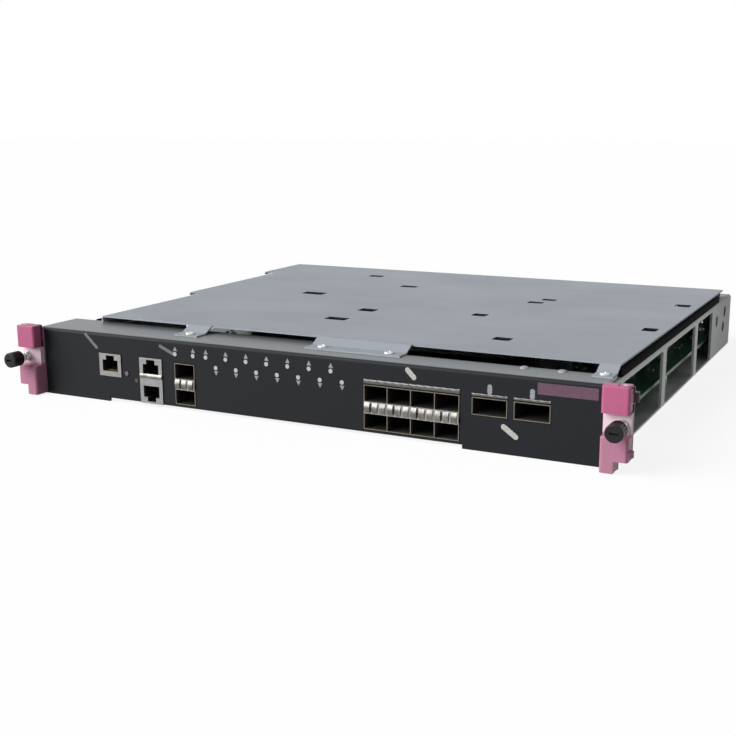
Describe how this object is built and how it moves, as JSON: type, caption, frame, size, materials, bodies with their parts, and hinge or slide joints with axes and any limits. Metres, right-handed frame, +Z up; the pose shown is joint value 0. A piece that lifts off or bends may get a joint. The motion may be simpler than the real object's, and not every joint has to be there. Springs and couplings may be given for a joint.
{
  "type": "control processor module",
  "caption": "Slide-in control processor module for a network chassis: dark port panel, mulberry ejector levers, thumb screws and a folded metal case.",
  "frame": {"origin": "middle of the footprint, level with the underside of the tray", "axes": "+X along the port panel to the right as seen from the front, +Y into the chassis, +Z up"},
  "size_m": [0.4016, 0.3824, 0.0482],
  "materials": {
    "panel_paint": "dark grey powder coat",
    "zinc_sheet": "zinc plated",
    "cover_sheet": "satin plated",
    "mulberry_plastic": "satin moulded",
    "mulberry_paint": "satin painted",
    "black_plastic": "satin moulded",
    "bright_steel": "bright plated",
    "spring_bronze": "tinned spring strip",
    "cage_metal": "tinned",
    "board_green": "solder mask",
    "chip_black": "moulded",
    "sink_aluminium": "extruded",
    "lens": "clear moulded",
    "button_plastic": "moulded",
    "connector_plastic": "moulded",
    "blade_brass": "plated"
  },
  "bodies": {
    "module": {"bank_spring_strip": "spring_bronze", "base_tray": "zinc_sheet", "board_screws": "bright_steel", "board_standoffs": "bright_steel", "capacitors": "sink_aluminium", "cell_holder": "black_plastic", "clock_cell": "bright_steel", "console_jack": "cage_metal", "cover_screws": "bright_steel", "ear_bracket_left": "mulberry_paint", "ear_bracket_right": "mulberry_paint", "end_block_left": "mulberry_plastic", "end_block_right": "mulberry_plastic", "faceplate": "panel_paint", "guide_socket_left": "connector_plastic", "guide_socket_right": "connector_plastic", "host_connectors": "black_plastic", "lever_pin_left": "bright_steel", "lever_pin_right": "bright_steel", "main_board": "board_green", "management_jack_lower": "cage_metal", "management_jack_upper": "cage_metal", "memory_module": "board_green", "memory_socket": "black_plastic", "pair_spring_strip": "spring_bronze", "power_blades": "blade_brass", "power_coils": "black_plastic", "power_connector": "connector_plastic", "power_converter": "black_plastic", "processor_chip": "chip_black", "processor_heat_sink": "sink_aluminium", "rear_bridge": "zinc_sheet", "reset_switch": "black_plastic", "screw_ferrule_left": "bright_steel", "screw_ferrule_right": "bright_steel", "screw_spring_left": "bright_steel", "screw_spring_right": "bright_steel", "sfp_bank_lower": "cage_metal", "sfp_bank_upper": "cage_metal", "sfp_pair_lower": "cage_metal", "sfp_pair_upper": "cage_metal", "signal_connectors": "connector_plastic", "status_lights": "lens", "switch_chip": "chip_black", "switch_heat_sink": "sink_aluminium", "top_cover": "cover_sheet", "uplink_cage_inner": "cage_metal", "uplink_cage_outer": "cage_metal"},
    "lever_left": {"ejector_lever_left": "mulberry_plastic"},
    "collar_left": {"screw_collar_left": "bright_steel"},
    "screw_left": {"thumb_knob_left": "black_plastic", "screw_shank_left": "bright_steel"},
    "lever_right": {"ejector_lever_right": "mulberry_plastic"},
    "collar_right": {"screw_collar_right": "bright_steel"},
    "screw_right": {"thumb_knob_right": "black_plastic", "screw_shank_right": "bright_steel"},
    "reset": {"reset_button": "button_plastic"}
  },
  "joints": [
    {"name": "lever_swing_left", "type": "hinge", "parent": "module", "child": "lever_left", "pos_m": [-0.1952, -0.17435, 0.0383], "axis": [0, 0, -1], "range_deg": [0, 60]},
    {"name": "screw_press_left", "type": "slide", "parent": "module", "child": "collar_left", "axis": [0, 1, 0], "range_m": [0, 0.0055], "stiffness_N_per_m": 300, "deforming": ["screw_spring_left"]},
    {"name": "screw_turn_left", "type": "hinge", "parent": "collar_left", "child": "screw_left", "pos_m": [-0.1945, -0.185, 0.0246], "axis": [0, 1, 0], "continuous": true},
    {"name": "lever_swing_right", "type": "hinge", "parent": "module", "child": "lever_right", "pos_m": [0.1952, -0.17435, 0.0383], "axis": [0, 0, 1], "range_deg": [0, 60]},
    {"name": "screw_press_right", "type": "slide", "parent": "module", "child": "collar_right", "axis": [0, 1, 0], "range_m": [0, 0.0055], "stiffness_N_per_m": 300, "deforming": ["screw_spring_right"]},
    {"name": "screw_turn_right", "type": "hinge", "parent": "collar_right", "child": "screw_right", "pos_m": [0.1945, -0.185, 0.0246], "axis": [0, 1, 0], "continuous": true},
    {"name": "reset_press", "type": "slide", "parent": "module", "child": "reset", "axis": [0, 1, 0], "range_m": [0, 0.0008], "stiffness_N_per_m": 500}
  ]
}
